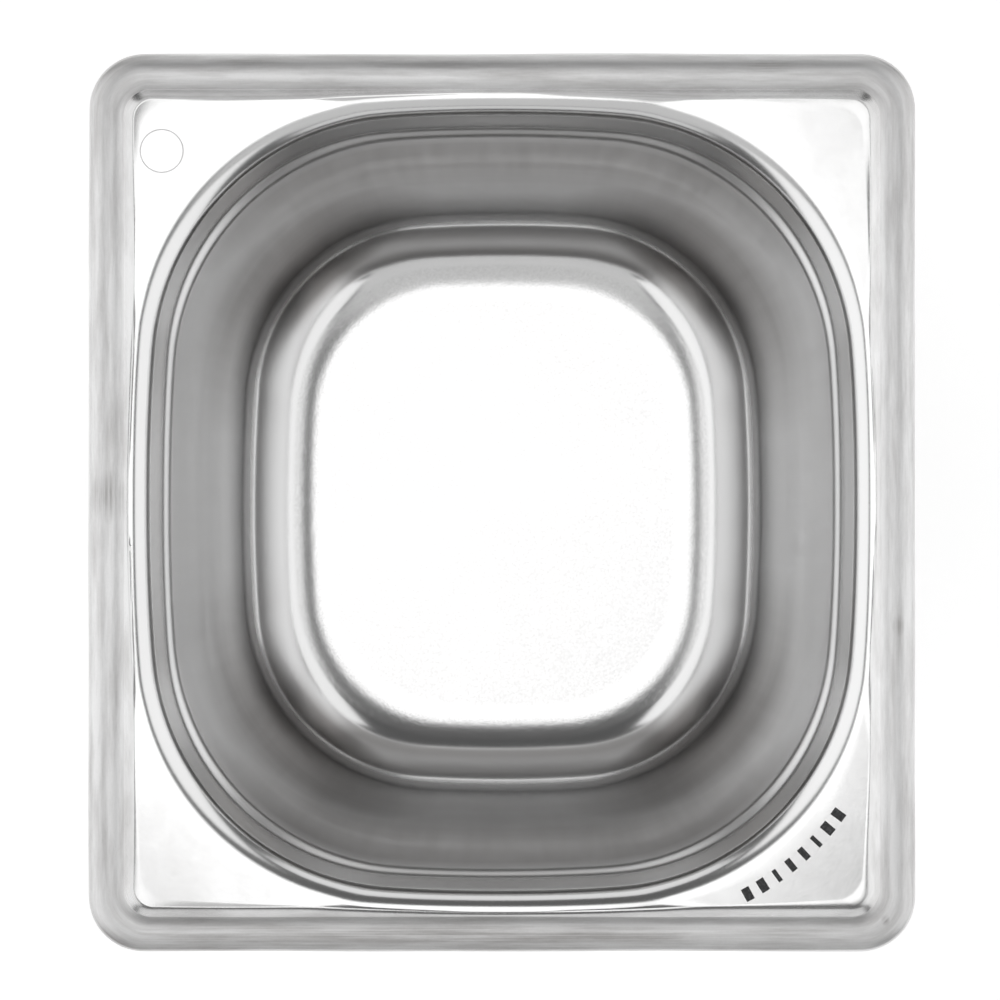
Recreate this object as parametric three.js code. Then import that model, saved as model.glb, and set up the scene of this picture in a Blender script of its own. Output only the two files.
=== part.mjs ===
// Deli food pan: a gastronorm container of size 1/6, 150 mm deep, deep-drawn from one sheet of
// stainless steel. The sheet turns down at the outer edge, crosses a raised rim band, steps down to
// a flat plate, bends into the well, and runs down past a stacking shoulder and drafted walls to a
// rounded base. Millimetres, +Z up, the long side along Y. The origin is the centre of the base.
import * as THREE from 'three';

// Overall size
const RIM_WIDTH = 162; // across X
const RIM_LENGTH = 176; // across Y
const PAN_DEPTH = 150; // underside of the base to the top of the rim
const SHEET = 0.8;

// Rim: turned-down lip, domed band, step down to the plate
const RIM_CORNER = 10.8; // plan radius of the outer corners
const RIM_CORNER_TAPER = 0.75; // loss of plan corner radius for each millimetre further in
const LIP_DROP = 6; // top of the rim to the lip's lower edge
const EDGE_RADIUS = 1.8;
const BAND_LEAN = 30; // lean of the dome where it meets the edge bend and the step
const DOME_OUTER_RADIUS = 5.4;
const CREST_WIDTH = 0.6; // level strip along the top of the dome
const DOME_INNER_RADIUS = 5.5;
const STEP_TOP_RADIUS = 1;
const STEP_LEAN = 42;
const STEP_FOOT_RADIUS = 1.2;

// Well: bend, upper wall, stacking shoulder, main wall, base
const WELL_INSET = 11.9; // outer edge to the top of the well's wall
const WELL_BEND_RADIUS = 4;
const UPPER_WALL_DRAFT = 12;
const SHOULDER_DEPTH = 11;
const SHOULDER_FOOT_RADIUS = 2.5;
const SHOULDER_LEAN = 46;
const SHOULDER_EDGE_RADIUS = 3;
const SHOULDER_INSET = 15.2; // outer edge to the wall at the shoulder's lower edge
const SHOULDER_DRAFT = 8; // draft of the wall there
const WALL_CROWN_RADIUS = 260; // of the wall's slow turn from there to its own draft
const WALL_DRAFT = 1.6;

// Plan radius of the well's corners where the plate starts to bend, at the top of the wall, near
// its foot and at the edge of the flat floor
const WELL_CORNERS = [
  { inset: 8, corner: 48.6 },
  { inset: 12, corner: 48.3 },
  { inset: 20, corner: 44.9 },
  { inset: 40, corner: 29.7 },
];

// Base: hollow bends from the wall to the flat floor, each with the lean at which it ends
const BASE_BENDS = [
  { radius: 6, lean: 52, steps: 4 },
  { radius: 21.5, lean: 19.5, steps: 4 },
  { radius: 24.5, lean: 0, steps: 3 },
];

// Facets
const CORNER_STEPS = 10; // per quarter turn of a ring
const SIDE_STEPS = 2; // per straight side of a ring
const SMALL_BEND_STEPS = 3;
const STEP_STEPS = 1;
const WELL_BEND_STEPS = 6;
const WALL_CROWN_STEPS = 3;
const WALL_STEPS = 2;

const STEEL = new THREE.MeshStandardMaterial({ color: 0xc9cacb, roughness: 0.28, metalness: 1 });

const radians = THREE.MathUtils.degToRad;
const lerp = THREE.MathUtils.lerp;

/**
 * Draws the section of the sheet's upper face from the lip's edge to the base, as a pen that knows
 * its distance in from the rim's outer edge, its height, and the lean of the face: 0 where the face
 * looks up, 90 where it looks at the middle of the pan, -90 where it looks outwards.
 */
class SectionPen {
  constructor(inset, z, lean) {
    this.inset = inset;
    this.z = z;
    this.lean = lean;
    this.stations = [];
    this.mark();
  }

  mark() {
    this.stations.push({ inset: this.inset, z: this.z, lean: this.lean });
  }

  moveTo(inset, z) {
    this.inset = inset;
    this.z = z;
    this.mark();
  }

  straightDownTo(z) {
    const run = (this.z - z) / Math.tan(radians(this.lean));
    this.moveTo(this.inset + run, z);
  }

  straightInTo(inset, steps = 1) {
    const from = { inset: this.inset, z: this.z };
    const fall = (inset - from.inset) * Math.tan(radians(this.lean));
    for (let step = 1; step <= steps; step += 1) {
      const share = step / steps;
      this.moveTo(lerp(from.inset, inset, share), from.z - fall * share);
    }
  }

  // A positive radius is a crest, with its centre under the face. A negative one is a hollow.
  bendTo(lean, radius, steps) {
    const from = this.lean;
    const centre = {
      inset: this.inset - radius * Math.sin(radians(from)),
      z: this.z - radius * Math.cos(radians(from)),
    };
    for (let step = 1; step <= steps; step += 1) {
      this.lean = lerp(from, lean, step / steps);
      this.moveTo(
        centre.inset + radius * Math.sin(radians(this.lean)),
        centre.z + radius * Math.cos(radians(this.lean)),
      );
    }
  }
}

// How far in a bend between two leans carries the face, and how far down.
const bendRun = (radius, from, to) =>
  radius * Math.abs(Math.sin(radians(to)) - Math.sin(radians(from)));
const bendFall = (radius, from, to) =>
  radius * Math.abs(Math.cos(radians(to)) - Math.cos(radians(from)));

function drawSection() {
  const upperWallLean = 90 - UPPER_WALL_DRAFT;
  const edgeLean = 90 - SHOULDER_DRAFT;
  const wallLean = 90 - WALL_DRAFT;
  const edgeHeight =
    bendFall(EDGE_RADIUS, -90, -BAND_LEAN) + bendFall(DOME_OUTER_RADIUS, -BAND_LEAN, 0);
  const pen = new SectionPen(0, PAN_DEPTH - LIP_DROP, -90);

  // Lip and domed band
  pen.moveTo(0, PAN_DEPTH - edgeHeight);
  pen.bendTo(-BAND_LEAN, EDGE_RADIUS, SMALL_BEND_STEPS);
  pen.bendTo(0, DOME_OUTER_RADIUS, SMALL_BEND_STEPS);
  pen.straightInTo(pen.inset + CREST_WIDTH);
  pen.bendTo(BAND_LEAN, DOME_INNER_RADIUS, SMALL_BEND_STEPS);

  // Step down to the plate
  pen.bendTo(STEP_LEAN, STEP_TOP_RADIUS, STEP_STEPS);
  pen.bendTo(0, -STEP_FOOT_RADIUS, SMALL_BEND_STEPS);

  // Plate, bend and upper wall
  pen.straightInTo(WELL_INSET - bendRun(WELL_BEND_RADIUS, 0, upperWallLean));
  const plateEnd = pen.stations.length - 1;
  pen.bendTo(upperWallLean, WELL_BEND_RADIUS, WELL_BEND_STEPS);
  pen.straightDownTo(PAN_DEPTH - SHOULDER_DEPTH);

  // Stacking shoulder
  pen.bendTo(SHOULDER_LEAN, -SHOULDER_FOOT_RADIUS, SMALL_BEND_STEPS);
  pen.straightInTo(SHOULDER_INSET - bendRun(SHOULDER_EDGE_RADIUS, SHOULDER_LEAN, edgeLean));
  pen.bendTo(edgeLean, SHOULDER_EDGE_RADIUS, SMALL_BEND_STEPS);

  // Main wall and base
  pen.bendTo(wallLean, WALL_CROWN_RADIUS, WALL_CROWN_STEPS);
  const wallRun = (pen.z - SHEET - baseHeight(wallLean)) / Math.tan(radians(wallLean));
  pen.straightInTo(pen.inset + wallRun, WALL_STEPS);
  for (const { radius, lean, steps } of BASE_BENDS) pen.bendTo(lean, -radius, steps);

  return pen.stations.map((station, index) => ({
    ...station,
    corner: cornerRadius(station.inset, index < plateEnd),
  }));
}

// How far the bends of the base climb from the floor to the foot of the wall.
function baseHeight(wallLean) {
  let from = wallLean;
  let height = 0;
  for (const { radius, lean } of BASE_BENDS) {
    height += bendFall(radius, from, lean);
    from = lean;
  }
  return height;
}

// The plan radius of a ring's corners, which shrinks from the rim's edge to the plate, and again
// from the plate to the floor.
function cornerRadius(inset, onRim) {
  if (onRim) return RIM_CORNER - RIM_CORNER_TAPER * inset;
  const last = WELL_CORNERS.length - 1;
  const next = WELL_CORNERS.findIndex((place, index) => index === last || inset < place.inset);
  const to = WELL_CORNERS[Math.max(next, 1)];
  const from = WELL_CORNERS[Math.max(next, 1) - 1];
  return lerp(from.corner, to.corner, (inset - from.inset) / (to.inset - from.inset));
}

// One closed ring of points: a rounded rectangle at one height, counter-clockwise from above.
function ringPoints({ halfWidth, halfLength, corner, z }) {
  const points = [];
  for (let quarter = 0; quarter < 4; quarter += 1) {
    const signX = quarter === 0 || quarter === 3 ? 1 : -1;
    const signY = quarter < 2 ? 1 : -1;
    const centreX = signX * (halfWidth - corner);
    const centreY = signY * (halfLength - corner);
    for (let step = 0; step <= CORNER_STEPS; step += 1) {
      const angle = (quarter + step / CORNER_STEPS) * (Math.PI / 2);
      points.push(
        new THREE.Vector3(
          centreX + corner * Math.cos(angle),
          centreY + corner * Math.sin(angle),
          z,
        ),
      );
    }
    const alongX = quarter % 2 === 0;
    const from = points[points.length - 1];
    const to = alongX
      ? new THREE.Vector3(-from.x, from.y, z)
      : new THREE.Vector3(from.x, -from.y, z);
    for (let step = 1; step < SIDE_STEPS; step += 1) {
      points.push(from.clone().lerp(to, step / SIDE_STEPS));
    }
  }
  return points;
}

// A ring of the sheet's upper face, or of its lower face one sheet thickness behind it.
function sheetRing({ inset, z, lean, corner }, thickness) {
  const out = thickness * Math.sin(radians(lean));
  return ringPoints({
    halfWidth: RIM_WIDTH / 2 - inset + out,
    halfLength: RIM_LENGTH / 2 - inset + out,
    corner: corner + out,
    z: z - thickness * Math.cos(radians(lean)),
  });
}

// The closed skin of the sheet: the upper face from the lip to the base, the lower face back to the
// lip, each closed by a flat fan at the base, and the lip's cut edge between them.
function sheetGeometry(section) {
  const upper = section.map((station) => sheetRing(station, 0));
  const lower = section.map((station) => sheetRing(station, SHEET));
  const rings = [...upper.reverse(), ...lower];
  const count = rings[0].length;
  const points = rings.flat();
  const faces = [];
  for (let ring = 0; ring + 1 < rings.length; ring += 1) {
    for (let column = 0; column < count; column += 1) {
      const next = (column + 1) % count;
      const a = ring * count + column;
      const b = ring * count + next;
      const c = (ring + 1) * count + next;
      const d = (ring + 1) * count + column;
      faces.push(a, d, b, b, d, c);
    }
  }
  const floorCentre = points.push(new THREE.Vector3(0, 0, SHEET)) - 1;
  const undersideCentre = points.push(new THREE.Vector3(0, 0, 0)) - 1;
  const lastRing = (rings.length - 1) * count;
  for (let column = 0; column < count; column += 1) {
    const next = (column + 1) % count;
    faces.push(floorCentre, column, next);
    faces.push(undersideCentre, lastRing + next, lastRing + column);
  }
  const geometry = new THREE.BufferGeometry().setFromPoints(points);
  geometry.setIndex(faces);
  geometry.computeVertexNormals();
  return geometry;
}

const panBody = new THREE.Mesh(sheetGeometry(drawSection()), STEEL);
panBody.name = 'pan_body';

const foodPan = new THREE.Group();
foodPan.name = 'deli_food_pan';
foodPan.add(panBody);

export default foodPan;
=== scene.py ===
"""Deli food pan: a 1/6 gastronorm container, 150 mm deep, drawn from one sheet of stainless steel.

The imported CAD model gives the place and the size. One fine mesh of the sheet stands for its node,
with the lip, raised rim band, corner plates, bend, stacking shoulder, drafted walls and base worked
out from the same section, and small generic marks lie on two of the corner plates. Metres, +Z up.
"""

import math

import bpy
import numpy as np
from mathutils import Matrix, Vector
from mathutils.bvhtree import BVHTree


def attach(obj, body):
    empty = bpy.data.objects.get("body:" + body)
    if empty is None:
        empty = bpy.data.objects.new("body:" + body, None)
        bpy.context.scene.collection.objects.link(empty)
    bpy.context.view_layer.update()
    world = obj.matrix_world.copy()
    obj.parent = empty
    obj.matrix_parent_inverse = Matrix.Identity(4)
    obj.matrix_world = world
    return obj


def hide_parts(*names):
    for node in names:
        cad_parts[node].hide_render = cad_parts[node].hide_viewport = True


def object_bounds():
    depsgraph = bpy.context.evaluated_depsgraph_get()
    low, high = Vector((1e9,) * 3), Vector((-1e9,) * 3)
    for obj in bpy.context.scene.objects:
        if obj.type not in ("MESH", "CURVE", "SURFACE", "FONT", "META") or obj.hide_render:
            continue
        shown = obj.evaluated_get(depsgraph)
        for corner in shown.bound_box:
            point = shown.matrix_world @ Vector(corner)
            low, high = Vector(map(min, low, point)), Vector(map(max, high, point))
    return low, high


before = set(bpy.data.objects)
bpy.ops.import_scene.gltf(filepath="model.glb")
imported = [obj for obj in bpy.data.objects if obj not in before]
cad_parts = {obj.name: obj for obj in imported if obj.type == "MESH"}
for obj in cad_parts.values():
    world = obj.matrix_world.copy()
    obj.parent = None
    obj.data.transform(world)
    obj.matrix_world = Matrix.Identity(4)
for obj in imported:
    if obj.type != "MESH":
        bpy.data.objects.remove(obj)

CAD_LOWEST, CAD_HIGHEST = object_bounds()
MM = 0.001
MICROMETRE = 1e-6
CENTRE_X = (CAD_LOWEST.x + CAD_HIGHEST.x) / 2
CENTRE_Y = (CAD_LOWEST.y + CAD_HIGHEST.y) / 2
HALF_WIDTH = (CAD_HIGHEST.x - CAD_LOWEST.x) / 2
HALF_LENGTH = (CAD_HIGHEST.y - CAD_LOWEST.y) / 2
FLOOR_LEVEL = CAD_LOWEST.z
RIM_TOP = CAD_HIGHEST.z

# ---------------------------------------------------------------- section of the sheet

SHEET = 0.8 * MM
RIM_CORNER = 10.8 * MM
RIM_CORNER_TAPER = 0.75  # loss of corner radius for each unit of length in from the outer edge
LIP_DROP = 6 * MM
LIP_BREAK = 0.2 * MM  # rounding of the lip's cut edge
EDGE_RADIUS = 1.8 * MM
BAND_LEAN = 30  # lean of the domed band where it meets the edge bend and the step
DOME_OUTER_RADIUS = 5.4 * MM
CREST_WIDTH = 0.6 * MM
DOME_INNER_RADIUS = 5.5 * MM
STEP_TOP_RADIUS = 1.0 * MM
STEP_LEAN = 42
STEP_FOOT_RADIUS = 1.2 * MM
PLATE_SINK = 0.9 * MM  # how much lower the corner plates lie than the sheet at mid-side
PLATE_STEP_RUN = 1.0 * MM  # how much wider the step is beside them
PLATE_SINK_SPAN = 7 * MM  # width of plate over which it sinks

WELL_INSET = 11.9 * MM
WELL_BEND_RADIUS = 4 * MM
UPPER_WALL_DRAFT = 12
SHOULDER_DEPTH = 11 * MM
SHOULDER_FOOT_RADIUS = 2.5 * MM
SHOULDER_LEAN = 46
SHOULDER_EDGE_RADIUS = 3 * MM
SHOULDER_INSET = 15.2 * MM
SHOULDER_DRAFT = 8  # draft of the wall at the shoulder's lower edge
WALL_CROWN_RADIUS = 260 * MM  # of the wall's slow turn from there to its own draft
WALL_DRAFT = 1.6
WELL_CORNERS = (  # inset, plan radius of the corners there
    (8 * MM, 48.6 * MM),
    (12 * MM, 48.3 * MM),
    (20 * MM, 44.9 * MM),
    (40 * MM, 29.7 * MM),
)
BASE_BENDS = ((6 * MM, 52, 9), (21.5 * MM, 19.5, 10), (24.5 * MM, 0, 8))  # radius, lean, steps
FLOOR_INSETS = (40.5 * MM, 46 * MM, 56 * MM, 68 * MM)  # rings on the flat floor
BASE_CLIMB = 15 * MM  # height over which the flat underside turns into the wall
SIDE_BOW = math.radians(6.5)  # how far a side's bow turns before its corner's arc begins

HALF_QUARTER = 48  # columns of the mesh between the middle of a side and a corner's diagonal
ARC_SAMPLES = 4001  # places along a quarter of the well at which its outline is summed up
CROWDING = 0.8  # how much closer the columns lie at the diagonal

# Finish of the sheet along its section: roughness, grain, and draw lines with the wall's share of
# painted shade
RIM_FINISH = (0.41, 0.45, 0.15)
STEP_FINISH = (0.25, 0.25, 0.10)
PLATE_FINISH = (0.19, 0.50, 0.0)
BEND_FINISH = (0.20, 0.05, 0.10)
UPPER_FINISH = (0.22, 0.0, 0.30)
SHOULDER_FINISH = (0.32, 0.0, 0.30)
WALL_FINISH = (0.33, 0.0, 1.0)
FOOT_FINISH = (0.36, 0.0, 0.60)
BASE_FINISH = (0.12, 0.05, 0.10)
EDGE_FINISH = (0.20, 1.80, 0.0)
FLOOR_FINISH = (0.22, 2.20, 0.0)
BASE_FINISHES = (FOOT_FINISH, BASE_FINISH, EDGE_FINISH)  # one for each bend of the base


class SectionPen:
    """Draws the section of the sheet's upper face. It knows its distance in from the rim's outer
    edge, its height and the lean of the face: 0 looks up, 90 looks at the middle of the pan."""

    def __init__(self, inset, z, lean, finish):
        self.inset, self.z, self.lean, self.finish = inset, z, lean, finish
        self.stations = []
        self.mark()

    def mark(self):
        self.stations.append((self.inset, self.z, self.lean, *self.finish))

    def line(self, inset, z, steps):
        start = np.array([self.inset, self.z])
        for share in np.arange(1, steps + 1) / steps:
            self.inset, self.z = start + share * (np.array([inset, z]) - start)
            self.mark()

    def down_to(self, z, steps):
        run = (self.z - z) / math.tan(math.radians(self.lean))
        self.line(self.inset + run, z, steps)

    def in_to(self, inset, steps):
        fall = (inset - self.inset) * math.tan(math.radians(self.lean))
        self.line(inset, self.z - fall, steps)

    def bend_to(self, lean, radius, steps):
        """A positive radius is a crest, and a negative one is a hollow."""
        start = math.radians(self.lean)
        centre = (self.inset - radius * math.sin(start), self.z - radius * math.cos(start))
        for angle in np.linspace(start, math.radians(lean), steps + 1)[1:]:
            self.inset = centre[0] + radius * math.sin(angle)
            self.z = centre[1] + radius * math.cos(angle)
            self.lean = math.degrees(angle)
            self.mark()


def bend_run(radius, start, end):
    return radius * abs(math.sin(math.radians(end)) - math.sin(math.radians(start)))


def bend_fall(radius, start, end):
    return radius * abs(math.cos(math.radians(end)) - math.cos(math.radians(start)))


def draw_section():
    """The section as an array of stations, and the places in it of the step, the plate's inner
    edge and the shoulder."""
    upper_lean, wall_lean = 90 - UPPER_WALL_DRAFT, 90 - WALL_DRAFT
    edge_lean = 90 - SHOULDER_DRAFT
    at = {}
    edge_fall = bend_fall(EDGE_RADIUS, -90, -BAND_LEAN) + bend_fall(DOME_OUTER_RADIUS, BAND_LEAN, 0)
    pen = SectionPen(0, RIM_TOP - LIP_DROP + LIP_BREAK, -90, RIM_FINISH)
    pen.line(0, RIM_TOP - edge_fall, 4)
    pen.bend_to(-BAND_LEAN, EDGE_RADIUS, 7)
    pen.bend_to(0, DOME_OUTER_RADIUS, 6)
    pen.line(pen.inset + CREST_WIDTH, pen.z, 1)
    pen.bend_to(BAND_LEAN, DOME_INNER_RADIUS, 6)

    at["step_top"] = len(pen.stations) - 1
    pen.finish = STEP_FINISH
    pen.bend_to(STEP_LEAN, STEP_TOP_RADIUS, 5)
    pen.bend_to(0, -STEP_FOOT_RADIUS, 6)
    at["step_foot"] = len(pen.stations) - 1

    pen.finish = PLATE_FINISH
    pen.in_to(WELL_INSET - bend_run(WELL_BEND_RADIUS, 0, upper_lean), 7)
    at["mouth"] = len(pen.stations) - 1
    pen.finish = BEND_FINISH
    pen.bend_to(upper_lean, WELL_BEND_RADIUS, 14)
    pen.finish = UPPER_FINISH
    pen.down_to(RIM_TOP - SHOULDER_DEPTH, 6)
    at["shoulder"] = len(pen.stations) - 1

    pen.finish = SHOULDER_FINISH
    pen.bend_to(SHOULDER_LEAN, -SHOULDER_FOOT_RADIUS, 5)
    pen.in_to(SHOULDER_INSET - bend_run(SHOULDER_EDGE_RADIUS, SHOULDER_LEAN, edge_lean), 2)
    pen.bend_to(edge_lean, SHOULDER_EDGE_RADIUS, 6)

    pen.finish = WALL_FINISH
    pen.bend_to(wall_lean, WALL_CROWN_RADIUS, 6)
    leans = [wall_lean, *(lean for _, lean, _ in BASE_BENDS)]
    climb = sum(bend_fall(bend[0], *pair) for bend, pair in zip(BASE_BENDS, zip(leans, leans[1:])))
    pen.down_to(FLOOR_LEVEL + SHEET + climb, 9)
    for finish, (radius, lean, steps) in zip(BASE_FINISHES, BASE_BENDS):
        pen.finish = finish
        pen.bend_to(lean, -radius, steps)
    pen.finish = FLOOR_FINISH
    for inset in FLOOR_INSETS:
        pen.line(inset, pen.z, 1)
    return np.array(pen.stations), at


# ---------------------------------------------------------------- plan of the rings


def crowded_shares():
    """Shares of the way from the middle of a side to the corner's diagonal, closer at the end."""
    p = np.arange(HALF_QUARTER + 1) / HALF_QUARTER
    return p + CROWDING * np.sin(math.pi * p) / math.pi


def quarter_lengths(to_diagonal, whole):
    """Distances along a quarter of a ring, from one mid-side to the next, for its columns."""
    shares = crowded_shares()
    first = to_diagonal * shares
    second = whole - (whole - to_diagonal) * shares[::-1]
    return np.concatenate([first, second[1:]])


def whole_ring(x, y):
    """Both values of a quarter's columns, mirrored into the four quarters of a closed ring."""
    back = slice(None, 0, -1)
    return (
        np.concatenate([x[:-1], -x[back], -x[:-1], x[back]]),
        np.concatenate([y[:-1], y[back], -y[:-1], -y[back]]),
    )


def rim_columns():
    """For each column of the rim: its share of the way out to the corner arcs' centres along X and
    Y, and the plan direction that it looks in."""
    side_y, side_x = HALF_LENGTH - RIM_CORNER, HALF_WIDTH - RIM_CORNER
    arc = RIM_CORNER * math.pi / 2
    along = quarter_lengths(side_y + arc / 2, side_y + arc + side_x)
    angle = np.clip((along - side_y) / RIM_CORNER, 0, math.pi / 2)
    share_x = 1 - np.clip(along - side_y - arc, 0, None) / side_x
    share_y = np.clip(along, 0, side_y) / side_y
    return whole_ring(share_x, share_y), whole_ring(np.cos(angle), np.sin(angle))


def rim_ring(inset, shares, facing_out):
    """Plan points of a ring of the rim: a rounded rectangle at a distance in from the edge."""
    corner = RIM_CORNER - RIM_CORNER_TAPER * inset
    x = (HALF_WIDTH - inset - corner) * shares[0] + corner * facing_out[0]
    y = (HALF_LENGTH - inset - corner) * shares[1] + corner * facing_out[1]
    return x, y


def bow(turn):
    """How much a side still bows after turning through an angle: 2 at its middle, 0 at the end."""
    return np.where(turn < SIDE_BOW, 1 + np.cos(math.pi * turn / SIDE_BOW), 0)


def well_quarter(half_width, half_length, corner, angles):
    """A quarter of a rounded rectangle whose sides bow gently into their corners, at the given
    plan angles, or at evenly crowded ones if there are none."""
    phi = np.linspace(0, math.pi / 2, ARC_SAMPLES)
    side, end = bow(phi), bow(math.pi / 2 - phi)
    steps = np.diff(phi)

    def walk(slope):
        return np.concatenate([[0], np.cumsum((slope[1:] + slope[:-1]) / 2 * steps)])

    ahead = walk(side * np.cos(phi))[-1]
    across = walk(side * np.sin(phi))[-1]
    long_bow, short_bow = np.linalg.solve(
        [[ahead, across], [across, ahead]], [half_length - corner, half_width - corner]
    )
    radius = corner + long_bow * side + short_bow * end
    x = half_width - walk(radius * np.sin(phi))
    y = walk(radius * np.cos(phi))
    along = walk(radius)
    if angles is None:
        diagonal = np.interp(math.pi / 4, phi, along)
        angles = np.interp(quarter_lengths(diagonal, along[-1]), along, phi)
    return np.interp(angles, phi, x), np.interp(angles, phi, y), angles


def well_corner(inset):
    """The plan radius of the well's corners at a distance in from the rim's edge."""
    (start, first), (end, last) = WELL_CORNERS[-2:]
    if inset > end:
        return last + (inset - end) * (last - first) / (end - start)
    return np.interp(inset, *zip(*WELL_CORNERS))


# ---------------------------------------------------------------- the sheet as a mesh


def smoothstep(value):
    t = np.clip(value, 0, 1)
    return t * t * (3 - 2 * t)


def upper_face():
    """The sheet's upper face as rings of points, and each ring's finish and distance from the lip
    along the sheet."""
    section, at = draw_section()
    shares, facing_out = rim_columns()
    inset, z = section[:, 0], section[:, 1]
    angles = well_quarter(
        HALF_WIDTH - WELL_INSET, HALF_LENGTH - WELL_INSET, well_corner(WELL_INSET), None
    )[2]
    rings = np.zeros((len(section), len(shares[0]), 3))

    for ring in range(at["mouth"], len(section)):
        x, y, _ = well_quarter(
            HALF_WIDTH - inset[ring], HALF_LENGTH - inset[ring], well_corner(inset[ring]), angles
        )
        rings[ring, :, 0], rings[ring, :, 1] = whole_ring(x, y)
        rings[ring, :, 2] = z[ring]

    foot = np.stack(rim_ring(inset[at["step_foot"]], shares, facing_out), axis=1)
    plate_width = np.linalg.norm(rings[at["mouth"], :, :2] - foot, axis=1)
    sunk = smoothstep(plate_width / PLATE_SINK_SPAN)

    step_top, step_foot = z[at["step_top"]], z[at["step_foot"]]
    for ring in range(at["step_foot"] + 1):
        down = 0 if ring <= at["step_top"] else (step_top - z[ring]) / (step_top - step_foot)
        x, y = rim_ring(inset[ring], shares, facing_out)
        rings[ring, :, 0] = x - facing_out[0] * PLATE_STEP_RUN * sunk * down
        rings[ring, :, 1] = y - facing_out[1] * PLATE_STEP_RUN * sunk * down
        rings[ring, :, 2] = z[ring] - PLATE_SINK * sunk * down

    first, last = at["step_foot"], at["mouth"]
    for ring in range(last, at["shoulder"] + 1):
        depth = RIM_TOP - z[ring]
        left = smoothstep((SHOULDER_DEPTH - depth) / (SHOULDER_DEPTH - WELL_BEND_RADIUS))
        rings[ring, :, 2] -= PLATE_SINK * sunk * left
    for ring in range(first + 1, last):
        share = (ring - first) / (last - first)
        rings[ring] = rings[first] + share * (rings[last] - rings[first])
    rings[:, :, 0] += CENTRE_X
    rings[:, :, 1] += CENTRE_Y
    steps = np.hypot(np.diff(inset), np.diff(z))
    across = np.concatenate([[0], np.cumsum(steps)])
    return rings, section[:, 3:], across, at


def facing(rings):
    """Unit normals of rings of points, on the side that looks up or into the pan."""
    along = np.roll(rings, -1, axis=1) - np.roll(rings, 1, axis=1)
    inward = np.gradient(rings, axis=0)
    normals = np.cross(along, inward)
    return normals / np.linalg.norm(normals, axis=2, keepdims=True)


def ripple(points, waves):
    """Low waves through space, the unevenness that pressing leaves, in metres."""
    height = np.zeros(points.shape[:-1])
    for length, amplitude, direction, phase in waves:
        unit = np.array(direction) / np.linalg.norm(direction)
        height += amplitude * np.sin(points @ unit * (2 * math.pi / length) + phase)
    return height


PRESS_RIPPLES = [
    (61 * MM, 0.030 * MM, (1, 0.35, 0.2), 0.4),
    (43 * MM, 0.022 * MM, (-0.4, 1, 0.5), 2.1),
    (29 * MM, 0.012 * MM, (0.7, -0.8, 0.9), 4.0),
    (19 * MM, 0.006 * MM, (0.9, 0.5, -1), 1.3),
]
RIM_RIPPLES = [
    (74 * MM, 0.060 * MM, (1, -0.2, 0), 1.0),
    (52 * MM, 0.050 * MM, (0.1, 1, 0), 3.3),
    (31 * MM, 0.025 * MM, (0.8, 0.7, 0), 5.2),
]


def uneven(rings, at):
    """The rings with the small unevenness of a pressed and used sheet."""
    on_rim = np.zeros((len(rings), 1))
    on_rim[: at["step_foot"]] = 1
    height = ripple(rings, PRESS_RIPPLES) + on_rim * ripple(rings, RIM_RIPPLES)
    flat_base = smoothstep((rings[:, :, 2] - FLOOR_LEVEL - SHEET) / BASE_CLIMB)
    return rings + facing(rings) * (height * flat_base)[:, :, None]


def pan_mesh():
    """One closed mesh: the upper face from the lip to the base, and the lower face back again."""
    rings, finish, across, at = upper_face()
    rings = uneven(rings, at)
    upper = rings
    lower = rings - SHEET * facing(rings)
    lip_z = RIM_TOP - LIP_DROP
    break_in = np.array([LIP_BREAK, SHEET - LIP_BREAK]) / SHEET
    edge = [lower[0] * share + upper[0] * (1 - share) for share in break_in]
    for ring in edge:
        ring[:, 2] = lip_z
    stack = [*upper[::-1], *edge, *lower]
    ring_finish = [*finish[::-1], finish[0], finish[0], *finish]
    ring_across = [*across[::-1], across[0], across[0], *across]
    count, per = len(stack), stack[0].shape[0]
    points = np.concatenate(stack)
    values = np.repeat(np.array(ring_finish), per, axis=0)
    distances = np.repeat(np.array(ring_across), per)

    column = np.arange(per)
    following = (column + 1) % per
    quads = [
        np.stack([r * per + column, (r + 1) * per + column,
                  (r + 1) * per + following, r * per + following], axis=1)
        for r in range(count - 1)
    ]
    faces = [tuple(map(int, q)) for q in np.concatenate(quads)]
    centre_up, centre_down = len(points), len(points) + 1
    middle = [[CENTRE_X, CENTRE_Y, FLOOR_LEVEL + SHEET], [CENTRE_X, CENTRE_Y, FLOOR_LEVEL]]
    points = np.concatenate([points, middle])
    values = np.concatenate([values, [finish[-1], finish[-1]]])
    distances = np.concatenate([distances, [across[-1], across[-1]]])
    last = (count - 1) * per
    faces += [(centre_up, int(a), int(b)) for a, b in zip(column, following)]
    faces += [(centre_down, int(last + b), int(last + a)) for a, b in zip(column, following)]

    mesh = bpy.data.meshes.new("pan_sheet")
    mesh.from_pydata(points.tolist(), [], faces)
    mesh.shade_smooth()
    attribute = mesh.attributes.new("finish", "FLOAT_VECTOR", "POINT")
    attribute.data.foreach_set("vector", values.astype(np.float32).ravel())
    attribute = mesh.attributes.new("across", "FLOAT", "POINT")
    attribute.data.foreach_set("value", distances.astype(np.float32))
    ring_faces = (count - 1) * per
    outside = np.zeros(len(faces), np.int32)
    outside[(len(upper) - 1) * per : ring_faces] = 1
    outside[ring_faces + per :] = 1
    mesh.polygons.foreach_set("material_index", outside)
    mesh.update()
    return mesh


# ---------------------------------------------------------------- materials


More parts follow.
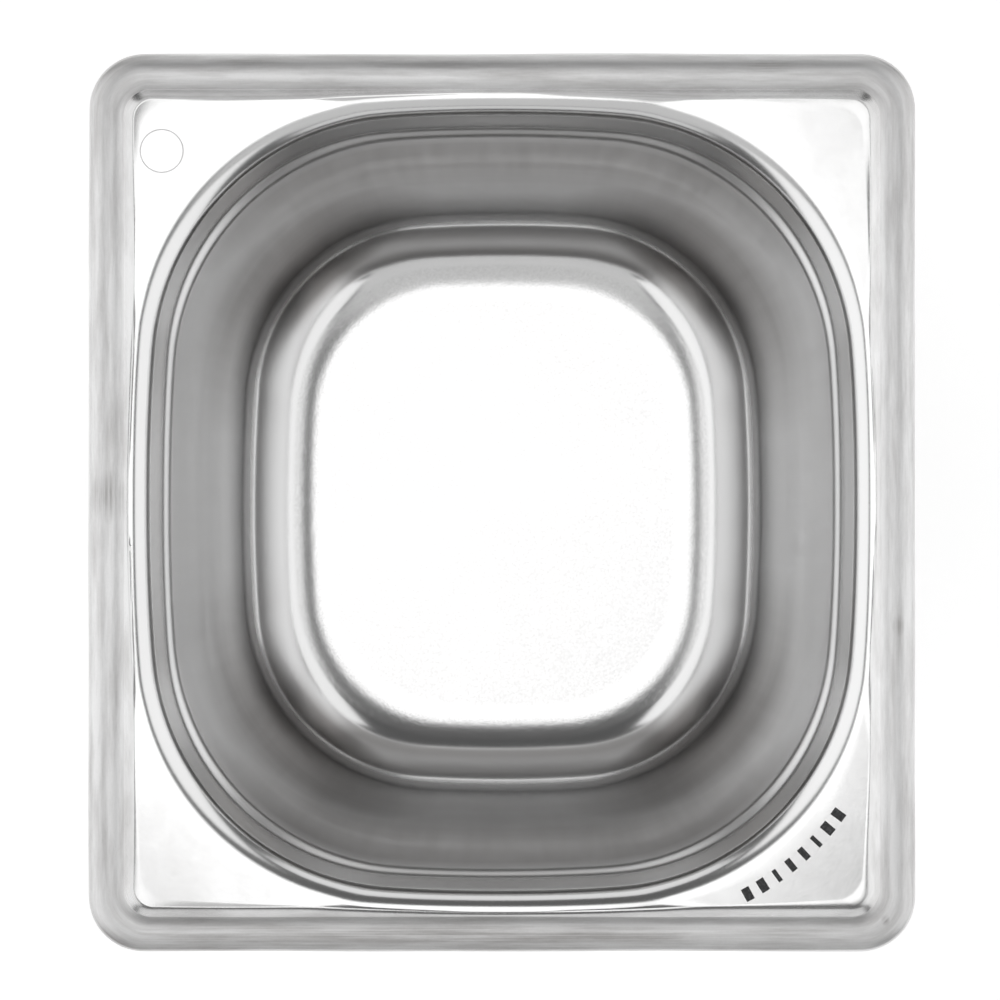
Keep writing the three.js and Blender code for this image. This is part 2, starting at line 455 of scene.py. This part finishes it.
class Nodes:
    """Short calls for building a material's node tree."""

    def __init__(self, name):
        self.material = bpy.data.materials.new(name)
        self.material.use_nodes = True
        self.tree = self.material.node_tree
        self.shader = self.tree.nodes["Principled BSDF"]

    def add(self, kind, inputs=(), **settings):
        node = self.tree.nodes.new(kind)
        for name, value in settings.items():
            setattr(node, name, value)
        for name, value in dict(inputs).items():
            self.feed(node.inputs[name], value)
        return node

    def feed(self, socket, value):
        if isinstance(value, bpy.types.NodeSocket):
            self.tree.links.new(value, socket)
        else:
            socket.default_value = value

    def maths(self, operation, a, b=0.0, c=0.0):
        node = self.tree.nodes.new("ShaderNodeMath")
        node.operation = operation
        for socket, value in zip(node.inputs, (a, b, c)):
            self.feed(socket, value)
        return node.outputs["Value"]

    def remap(self, value, from_min, from_max, to_min, to_max):
        node = self.add("ShaderNodeMapRange", {
            "Value": value, "From Min": from_min, "From Max": from_max,
            "To Min": to_min, "To Max": to_max,
        })
        return node.outputs["Result"]

    def stretched(self, vector, scale):
        node = self.add("ShaderNodeMapping", {"Vector": vector, "Scale": scale})
        return node.outputs["Vector"]

    def noise(self, vector, scale, detail, roughness):
        node = self.add("ShaderNodeTexNoise", {
            "Vector": vector, "Scale": scale, "Detail": detail, "Roughness": roughness,
        })
        return node.outputs["Fac"]


# Colour that marks, grain and wear darken the steel towards, and the colour of the painted wall
# shade
DULL_AND_SHADE_COLOUR = (0.331, 0.316, 0.308, 1)
INSIDE_TONE = 0.86
OUTSIDE_TONE = 0.80

# Worn places on the rim: centre, half extents in plan, strength
SCUFFS = (
    (-76.8 * MM, 1.2 * MM, 4.2 * MM, 5.5 * MM, 0.8),
    (52.5 * MM, 85.4 * MM, 7.0 * MM, 1.6 * MM, 1.0),
    (77.6 * MM, -24.0 * MM, 1.4 * MM, 2.4 * MM, 0.7),
    (56.0 * MM, -84.2 * MM, 11.0 * MM, 1.8 * MM, 0.6),
    (-6.0 * MM, -84.4 * MM, 82.0 * MM, 4.6 * MM, 0.75),
    (-49.0 * MM, 86.2 * MM, 10.0 * MM, 1.8 * MM, 0.5),
    (75.0 * MM, -81.6 * MM, 1.0 * MM, 1.2 * MM, 1.0),
)
RIM_WIDTH = 13.5 * MM  # along the sheet, from the lip's edge to the foot of the step
CORNER_SHADE = (900 * MM * MM, 2600 * MM * MM, 0, 0.92)  # X times Y to painted shade in the corners
LOW_SHARE = (72 * MM, 124 * MM, 1, 0)  # height to share of the corners' painted shade
END_SHADE = (46 * MM, 66 * MM, 0, 0.70)  # distance from the X axis to painted shade at the ends
HIGH_SHARE = (55 * MM, 100 * MM, 0, 1)  # height to share of the ends' painted shade
ETCHED_RING = (-66.7 * MM, 69.0 * MM, 4.2 * MM, 0.16 * MM)  # centre, radius, half width of its line


def plan_distance(n, place, centre, half_extents):
    """How far a place is from a centre in plan, in units of the half extents."""
    x = n.maths("MULTIPLY", n.maths("SUBTRACT", place["X"], centre[0]), 1 / half_extents[0])
    y = n.maths("MULTIPLY", n.maths("SUBTRACT", place["Y"], centre[1]), 1 / half_extents[1])
    return n.maths("SQRT", n.maths("ADD", n.maths("MULTIPLY", x, x), n.maths("MULTIPLY", y, y)))


def scuffed(n, place, streaks):
    """Where the rim is scuffed, from 0 to 1."""
    worn = 0.0
    for x, y, half_x, half_y, strength in SCUFFS:
        near = n.remap(plan_distance(n, place, (x, y), (half_x, half_y)), 0.2, 1, strength, 0)
        worn = n.maths("MAXIMUM", worn, near)
    return n.maths("MULTIPLY", worn, streaks)


def etched(n, place):
    """The plain ring etched on one corner plate, from 0 to 1."""
    x, y, radius, half_line = ETCHED_RING
    far = plan_distance(n, place, (x, y), (radius, radius))
    off_line = n.maths("ABSOLUTE", n.maths("SUBTRACT", far, 1))
    return n.remap(off_line, 0.4 * half_line / radius, half_line / radius, 1, 0)


def along_rings(n, place, across, lengthwise, crosswise):
    """A place for noise that is drawn out along the rings of the sheet."""
    return n.add("ShaderNodeCombineXYZ", {
        "X": n.maths("MULTIPLY", place["X"], lengthwise),
        "Y": n.maths("MULTIPLY", place["Y"], lengthwise),
        "Z": n.maths("MULTIPLY", across, crosswise),
    }).outputs["Vector"]


def painted_wall_shade(n, place, draw_and_shade_share):
    """Painted shade on the wall: darker low in the corners, and high at the two ends."""
    product = n.maths("ABSOLUTE", n.maths("MULTIPLY", place["X"], place["Y"]))
    near_corner = n.remap(product, *CORNER_SHADE)
    near_end = n.remap(n.maths("ABSOLUTE", place["Y"]), *END_SHADE)
    corners = n.maths("MULTIPLY", near_corner, n.remap(place["Z"], *LOW_SHARE))
    ends = n.maths("MULTIPLY", near_end, n.remap(place["Z"], *HIGH_SHARE))
    return n.maths("MULTIPLY", n.maths("MAXIMUM", corners, ends), draw_and_shade_share)


def steel(name, tone, inside):
    """Cold-rolled stainless sheet. The mesh's finish attribute says how rough, how grainy and how
    marked by the draw the sheet is at each place. Its colour also takes painted shade, darker low
    in the wall's corners and high at its two ends."""
    n = Nodes(name)
    finish = n.add("ShaderNodeAttribute", attribute_name="finish").outputs["Vector"]
    parts = n.add("ShaderNodeSeparateXYZ", {"Vector": finish}).outputs
    rough, grain_share, draw_and_shade_share = parts["X"], parts["Y"], parts["Z"]
    object_place = n.add("ShaderNodeTexCoord").outputs["Object"]
    place = n.add("ShaderNodeSeparateXYZ", {"Vector": object_place}).outputs
    across = n.add("ShaderNodeAttribute", attribute_name="across").outputs["Fac"]
    on_rim = n.remap(across, RIM_WIDTH - 1.5 * MM, RIM_WIDTH, 1, 0)

    cloud = n.noise(object_place, 34, 3, 0.55)
    grain = n.noise(object_place, 1900, 2, 0.6)
    pits = n.noise(object_place, 620, 2, 0.5)
    draw_lines = n.noise(n.stretched(object_place, (14, 14, 0.3)), 25, 1, 0.5)
    ring_lines = n.noise(along_rings(n, place, across, 22, 2600), 1, 3, 0.6)
    ring_bands = n.noise(n.stretched(object_place, (0.3, 0.3, 2.2)), 34, 2, 0.5)
    rubbed = n.noise(along_rings(n, place, across, 40, 420), 1, 4, 0.65)

    worn = n.maths("MULTIPLY", n.remap(cloud, 0.3, 0.7, -0.015, 0.02), n.maths("ADD", on_rim, 0.3))
    ring_wear = n.maths("MULTIPLY", n.remap(ring_lines, 0.3, 0.7, -0.02, 0.03), on_rim)
    worn = n.maths("ADD", worn, ring_wear)
    lined = n.maths("MULTIPLY", n.remap(draw_lines, 0.3, 0.7, -0.02, 0.025), draw_and_shade_share)
    banded = n.maths("MULTIPLY", n.remap(ring_bands, 0.3, 0.7, -0.03, 0.04), draw_and_shade_share)
    roughness = n.maths("ADD", n.maths("ADD", rough, worn), n.maths("ADD", lined, banded))
    rim_wear = n.maths("MULTIPLY", n.remap(rubbed, 0.40, 0.72, 0, 0.45), on_rim)
    speckle = n.maths("MULTIPLY", n.remap(grain, 0.3, 0.7, 0, 0.09), grain_share)
    marks_and_painted_shade = n.maths("ADD", n.maths("ADD", rim_wear, speckle), n.remap(cloud, 0.3, 0.7, 0, 0.03))
    # Painted shade on the wall: darker low in the corners and high at the two ends
    marks_and_painted_shade = n.maths("ADD", marks_and_painted_shade, painted_wall_shade(n, place, draw_and_shade_share))
    if inside:
        scuffs = scuffed(n, place, n.remap(ring_lines, 0.38, 0.62, 0.2, 1))
        ring = etched(n, place)
        roughness = n.maths("ADD", roughness, n.maths("MULTIPLY", ring, 0.22))
        roughness = n.maths("ADD", roughness, n.maths("MULTIPLY", scuffs, 0.12))
        marked = n.maths("ADD", n.maths("MULTIPLY", scuffs, 0.5), n.maths("MULTIPLY", ring, 0.25))
        marks_and_painted_shade = n.maths("ADD", marks_and_painted_shade, marked)
    n.feed(n.shader.inputs["Roughness"], n.maths("MAXIMUM", roughness, 0.05))
    # The steel's tone darkens towards the dull colour by its marks and wear, and by the painted
    # wall shade
    mixed = n.add("ShaderNodeMixRGB", {
        "Fac": marks_and_painted_shade, "Color1": (tone, tone, tone, 1), "Color2": DULL_AND_SHADE_COLOUR,
    })
    n.feed(n.shader.inputs["Base Color"], mixed.outputs["Color"])
    n.shader.inputs["Metallic"].default_value = 1

    fine = n.maths("ADD", n.maths("MULTIPLY", grain, 4.0), n.maths("MULTIPLY", pits, 9.0))
    fine = n.maths("MULTIPLY", fine, grain_share)
    drawn = n.maths("MULTIPLY", n.maths("MULTIPLY", ring_bands, 14), draw_and_shade_share)
    lines = n.maths("MULTIPLY", n.maths("MULTIPLY", ring_lines, on_rim), 0.3)
    height = n.maths("ADD", n.maths("ADD", fine, drawn), lines)
    height = n.maths("MULTIPLY", height, MICROMETRE)
    bump = n.add("ShaderNodeBump", {"Strength": 1.0, "Distance": 1.0, "Height": height})
    n.feed(n.shader.inputs["Normal"], bump.outputs["Normal"])
    return n.material


def build_pan():
    pan = bpy.data.objects.new("pan_sheet", pan_mesh())
    bpy.context.scene.collection.objects.link(pan)
    pan.data.materials.append(steel("steel_inside", INSIDE_TONE, True))
    pan.data.materials.append(steel("steel_outside", OUTSIDE_TONE, False))
    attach(pan, "root")
    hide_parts("pan_body")
    return pan


# A row of plain printed bars on the corner plate at +X, -Y: widths, and the arc they stand on
BAR_WIDTHS = tuple(w * MM for w in (1.7, 1.7, 0.9, 1.3, 1.3, 0.9, 1.7, 1.7))
BAR_HEIGHT = 2.7 * MM
BAR_ARC_CENTRE = (22.7 * MM, -29.7 * MM)
BAR_ARC_RADIUS = 53.5 * MM
BAR_ARC_SPAN = (math.radians(-36), math.radians(-61.5))
INK = 0.03 * MM
INK_SINK = 0.02 * MM
BAR_GRID = (7, 11)  # points across and along a bar


def bar_points(sheet, angle, width):
    """The grid of a bar's points on the sheet under it."""
    radial = Vector((math.cos(angle), math.sin(angle), 0))
    sideways = Vector((-math.sin(angle), math.cos(angle), 0))
    middle = Vector((CENTRE_X + BAR_ARC_CENTRE[0], CENTRE_Y + BAR_ARC_CENTRE[1], RIM_TOP))
    middle += radial * BAR_ARC_RADIUS
    for v in np.linspace(-BAR_HEIGHT / 2, BAR_HEIGHT / 2, BAR_GRID[1]):
        for u in np.linspace(-width / 2, width / 2, BAR_GRID[0]):
            above = middle + sideways * float(u) + radial * float(v)
            yield sheet.ray_cast(above + Vector((0, 0, MM)), Vector((0, 0, -1)))[0]


def closed_patch(points, vertices, faces):
    """Adds a thin closed solid whose top and bottom follow a grid of points."""
    across, along = BAR_GRID
    first = len(vertices)
    count = across * along
    vertices += [(p.x, p.y, p.z + INK) for p in points]
    vertices += [(p.x, p.y, p.z - INK_SINK) for p in points]
    for row in range(along - 1):
        for col in range(across - 1):
            a = first + row * across + col
            b, c, d = a + 1, a + 1 + across, a + across
            faces.append((a, d, c, b))
            faces.append((a + count, b + count, c + count, d + count))
    border = [*range(across), *range(2 * across - 1, count, across)]
    border += [*range(count - 2, count - across - 1, -1), *range(count - 2 * across, 0, -across)]
    for k, here in enumerate(border):
        following = border[(k + 1) % len(border)]
        a, b = first + here, first + following
        faces.append((a, b, b + count, a + count))


def build_bars(pan):
    sheet = BVHTree.FromObject(pan, bpy.context.evaluated_depsgraph_get())
    vertices, faces = [], []
    for angle, width in zip(np.linspace(*BAR_ARC_SPAN, len(BAR_WIDTHS)), BAR_WIDTHS):
        closed_patch(list(bar_points(sheet, float(angle), width)), vertices, faces)
    mesh = bpy.data.meshes.new("printed_bars")
    mesh.from_pydata(vertices, [], faces)
    mesh.update()
    bars = bpy.data.objects.new("printed_bars", mesh)
    bpy.context.scene.collection.objects.link(bars)

    n = Nodes("black_ink")
    place = n.add("ShaderNodeTexCoord").outputs["Object"]
    worn = n.noise(place, 2400, 2, 0.6)
    rubbed = n.add("ShaderNodeMixRGB", {
        "Fac": n.remap(worn, 0.45, 0.75, 0, 1),
        "Color1": (0.012, 0.012, 0.013, 1), "Color2": (0.10, 0.10, 0.105, 1),
    })
    n.feed(n.shader.inputs["Base Color"], rubbed.outputs["Color"])
    n.feed(n.shader.inputs["Roughness"], n.remap(worn, 0.3, 0.7, 0.4, 0.65))
    bump = n.add("ShaderNodeBump", {
        "Strength": 1.0, "Distance": 1.0, "Height": n.maths("MULTIPLY", worn, 8 * MICROMETRE),
    })
    n.feed(n.shader.inputs["Normal"], bump.outputs["Normal"])
    mesh.materials.append(n.material)
    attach(bars, "root")


# ---------------------------------------------------------------- stage, light and camera


FLOOR_REACH = 6.0
FLOOR_GREY = 0.9
FLOOR_ROUGHNESS = 0.9
FLOOR_GLOW = 0.45


def build_floor():
    mesh = bpy.data.meshes.new("floor")
    reach = FLOOR_REACH
    mesh.from_pydata(
        [(-reach, -reach, 0), (reach, -reach, 0), (reach, reach, 0), (-reach, reach, 0)],
        [], [(0, 1, 2, 3)],
    )
    floor = bpy.data.objects.new("floor", mesh)
    floor.location.z = FLOOR_LEVEL
    bpy.context.scene.collection.objects.link(floor)
    n = Nodes("pale_floor")
    n.shader.inputs["Base Color"].default_value = (FLOOR_GREY, FLOOR_GREY, FLOOR_GREY, 1)
    n.shader.inputs["Roughness"].default_value = FLOOR_ROUGHNESS
    n.shader.inputs["Emission Color"].default_value = (1, 1, 1, 1)
    n.shader.inputs["Emission Strength"].default_value = FLOOR_GLOW
    mesh.materials.append(n.material)


RIM_CENTRE = Vector((CENTRE_X, CENTRE_Y, RIM_TOP))


def soft_box(name, azimuth, zenith, distance, width, height, radiance):
    """A large soft light aimed at the rim. Azimuth turns from +X to +Y, zenith is down from
    straight above, and radiance is how bright it looks."""
    a, z = math.radians(azimuth), math.radians(zenith)
    direction = Vector((math.cos(a) * math.sin(z), math.sin(a) * math.sin(z), math.cos(z)))
    data = bpy.data.lights.new(name, "AREA")
    data.shape = "RECTANGLE"
    data.size, data.size_y = width, height
    data.energy = radiance * math.pi * width * height
    light = bpy.data.objects.new(name, data)
    light.location = RIM_CENTRE + direction * distance
    light.rotation_euler = (-direction).to_track_quat("-Z", "Y").to_euler()
    light.visible_camera = False
    bpy.context.scene.collection.objects.link(light)
    return light


TOP_LIGHT = 0.83  # diameter
TOP_RADIANCE = 1.40
TOP_HEIGHT = 1.6  # above the rim
TOP_OFFSET = Vector((-0.05, 0.055, 0))  # from straight above the rim's centre

# Name, azimuth, zenith, distance, width, height, radiance
SOFT_BOXES = (
    ("left_box", 180, 56, 1.3, 2.2, 1.62, 0.98),
    ("right_box", 0, 56, 1.3, 2.2, 1.62, 0.92),
    ("front_box", 270, 34, 1.4, 1.0, 1.1, 0.52),
    ("front_low", 270, 68, 1.5, 1.2, 0.53, 0.62),
    ("back_low", 90, 70, 1.5, 1.6, 0.85, 0.76),
)
WORLD_GREY = 0.1  # as the pan sees it
BACKDROP_GREY = 0.93  # as the camera sees it


def build_lights():
    top = soft_box("top_light", 0, 0, TOP_HEIGHT, TOP_LIGHT, TOP_LIGHT, TOP_RADIANCE)
    top.data.shape = "DISK"
    top.data.energy *= math.pi / 4
    top.location += TOP_OFFSET
    top.rotation_euler = (0, 0, 0)
    for box in SOFT_BOXES:
        soft_box(*box)

    world = bpy.data.worlds.new("studio")
    bpy.context.scene.world = world
    world.use_nodes = True
    nodes, links = world.node_tree.nodes, world.node_tree.links
    background = nodes["Background"]
    path = nodes.new("ShaderNodeLightPath")
    seen = nodes.new("ShaderNodeMixRGB")
    seen.inputs["Color1"].default_value = (WORLD_GREY, WORLD_GREY, WORLD_GREY, 1)
    seen.inputs["Color2"].default_value = (BACKDROP_GREY, BACKDROP_GREY, BACKDROP_GREY, 1)
    links.new(path.outputs["Is Camera Ray"], seen.inputs["Fac"])
    links.new(seen.outputs["Color"], background.inputs["Color"])


CAMERA_HEIGHT = 0.70  # above the rim
PIXELS_ACROSS = 1000
PIXELS_PER_METRE = 5115  # at the rim
SENSOR = 36.0
CAMERA_OFFSET = Vector((-0.36 * MM, 0.55 * MM, CAMERA_HEIGHT))  # from the rim's centre


def build_camera():
    data = bpy.data.cameras.new("camera")
    data.sensor_width = SENSOR
    data.lens = SENSOR * CAMERA_HEIGHT * PIXELS_PER_METRE / PIXELS_ACROSS
    data.clip_start, data.clip_end = 0.01, 50
    camera = bpy.data.objects.new("camera", data)
    camera.location = RIM_CENTRE + CAMERA_OFFSET
    bpy.context.scene.collection.objects.link(camera)
    bpy.context.scene.camera = camera


build_camera()
build_lights()
build_floor()
build_bars(build_pan())
bpy.context.scene.view_settings.view_transform = "Standard"
